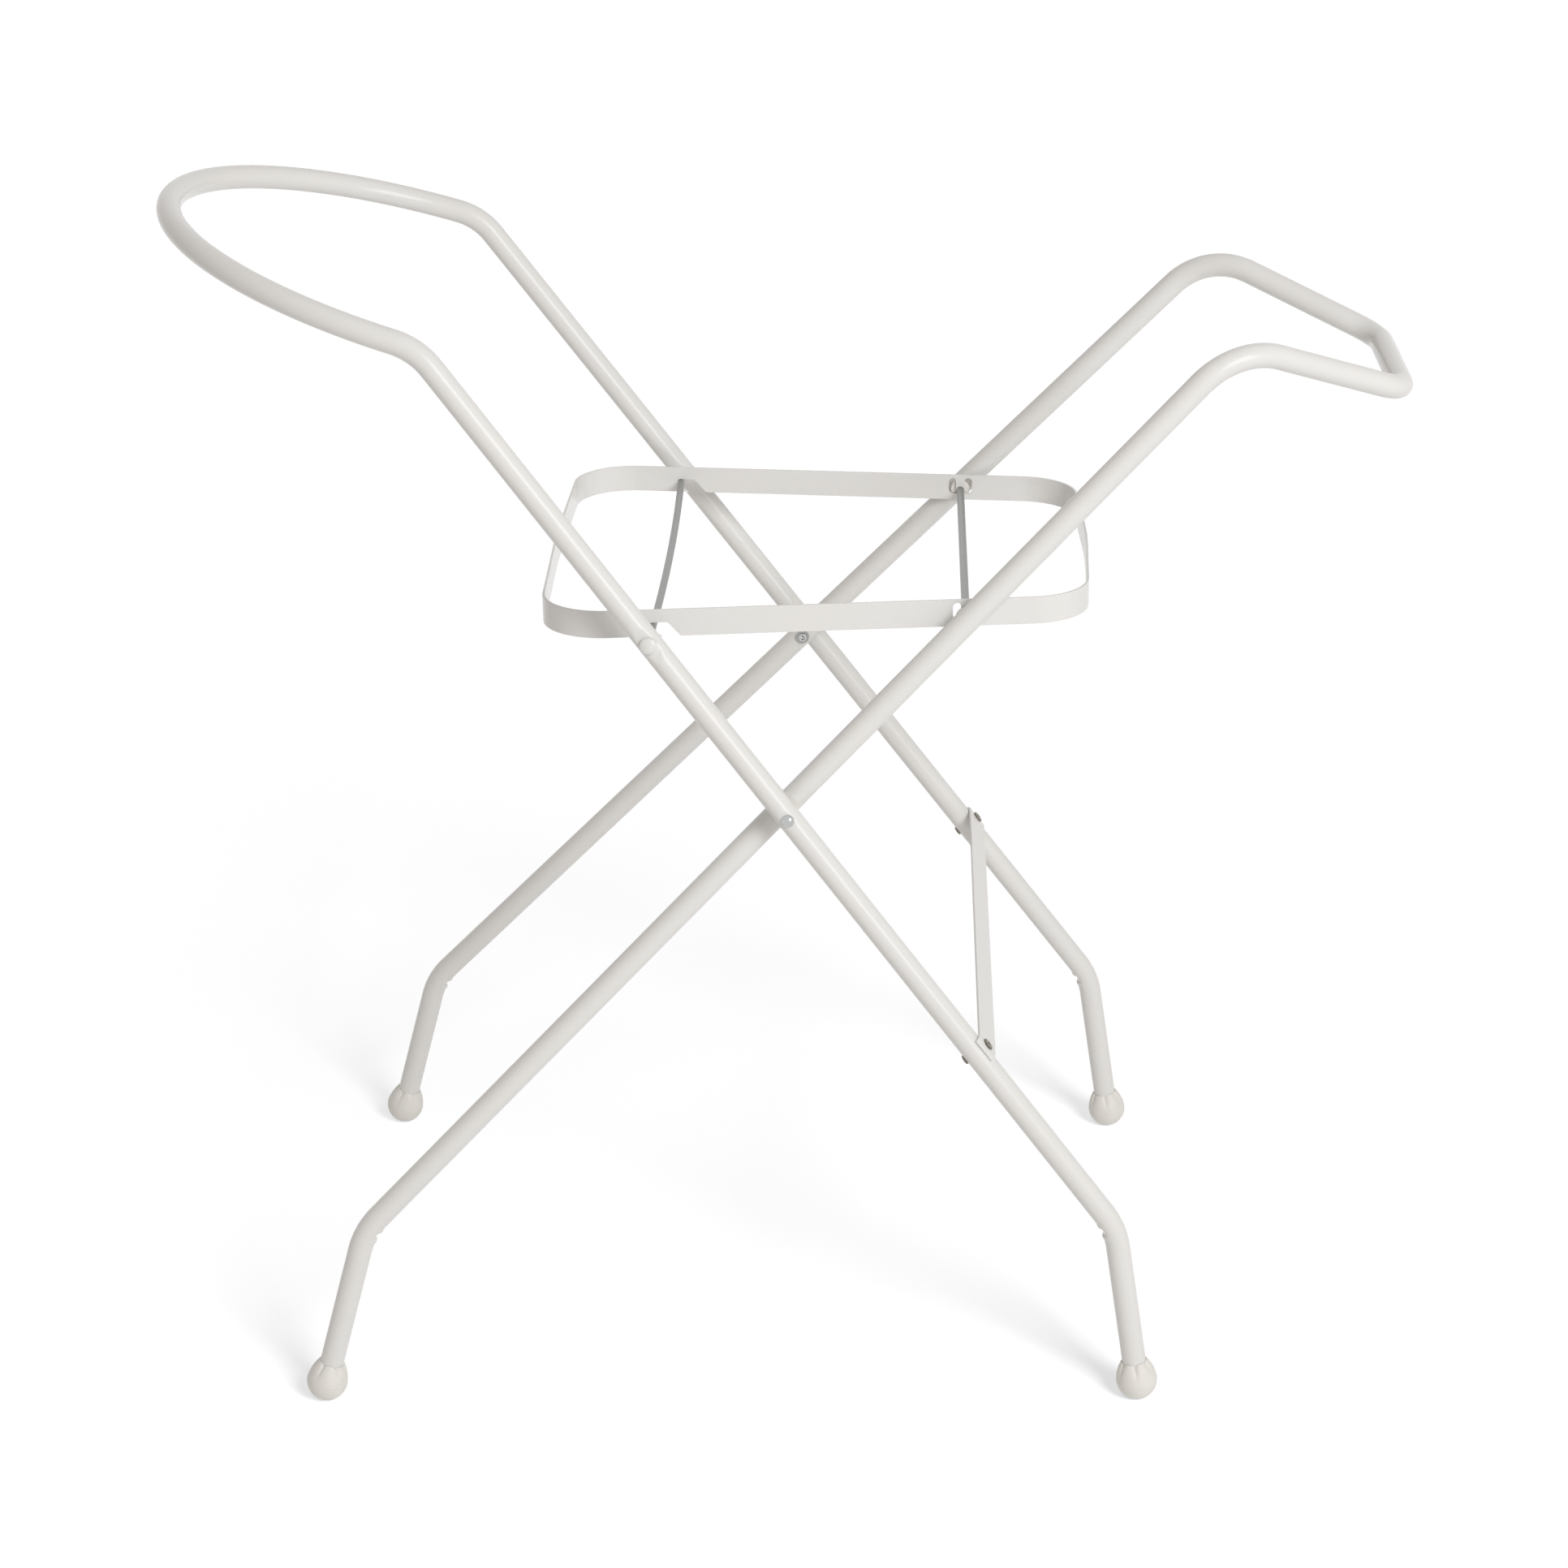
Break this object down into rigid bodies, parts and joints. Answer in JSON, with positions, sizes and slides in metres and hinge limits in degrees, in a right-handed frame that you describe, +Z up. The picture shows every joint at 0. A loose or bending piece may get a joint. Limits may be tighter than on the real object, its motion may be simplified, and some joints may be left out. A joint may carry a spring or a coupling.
{
  "type": "baby bath stand",
  "caption": "Folding tube stand that carries a baby bath: two crossed bent frames on a pivot, a flat steel ring that latches them open, a brace strap and rounded feet.",
  "frame": {"origin": "on the floor, at the middle of the stand's overall length and width, with the stand latched open", "axes": "+Z up; +X from the round end loop towards the square end loop; +Y towards the stand's rear side"},
  "size_m": [1.0232, 0.568, 0.9823],
  "materials": {
    "powder_coat": "glossy off-white powder coat",
    "foot_plastic": "soft satin, moulded",
    "trim_plastic": "smooth, moulded",
    "zinc_wire": "zinc-plated wire, dull grey",
    "zinc_washer": "zinc-plated",
    "chrome_rivet": "bright nickel-plated",
    "dark_rivet": "dark oiled steel"
  },
  "bodies": {
    "outer_frame": {"outer_tube": "powder_coat", "outer_foot_front": "foot_plastic", "outer_foot_rear": "foot_plastic", "latch_rod": "zinc_wire", "latch_cap_front": "powder_coat", "latch_cap_rear": "powder_coat", "pivot_rivet_front": "chrome_rivet", "pivot_rivet_rear": "chrome_rivet", "pivot_washer_front": "zinc_washer", "pivot_washer_rear": "zinc_washer", "brace_strap": "powder_coat", "brace_rivet_front": "dark_rivet", "brace_rivet_rear": "dark_rivet"},
    "inner_frame": {"inner_tube": "powder_coat", "inner_foot_front": "foot_plastic", "inner_foot_rear": "foot_plastic", "ring_rod": "zinc_wire", "ring_bush_front": "trim_plastic", "ring_bush_rear": "trim_plastic", "pivot_spacer_front": "trim_plastic", "pivot_spacer_rear": "trim_plastic"},
    "lock_ring_body": {"lock_ring": "powder_coat"}
  },
  "joints": [
    {"name": "fold", "type": "hinge", "parent": "outer_frame", "child": "inner_frame", "pos_m": [0.00539, 0, 0.519], "axis": [0, -1, 0], "range_deg": [0, 62]},
    {"name": "ring_swing", "type": "hinge", "parent": "inner_frame", "child": "lock_ring_body", "pos_m": [0.14812, 0, 0.66475], "axis": [0, -1, 0], "range_deg": [-50, 0]}
  ],
  "couplings": [
    {"joint": "ring_swing", "follows": "fold", "ratio": -0.8}
  ]
}
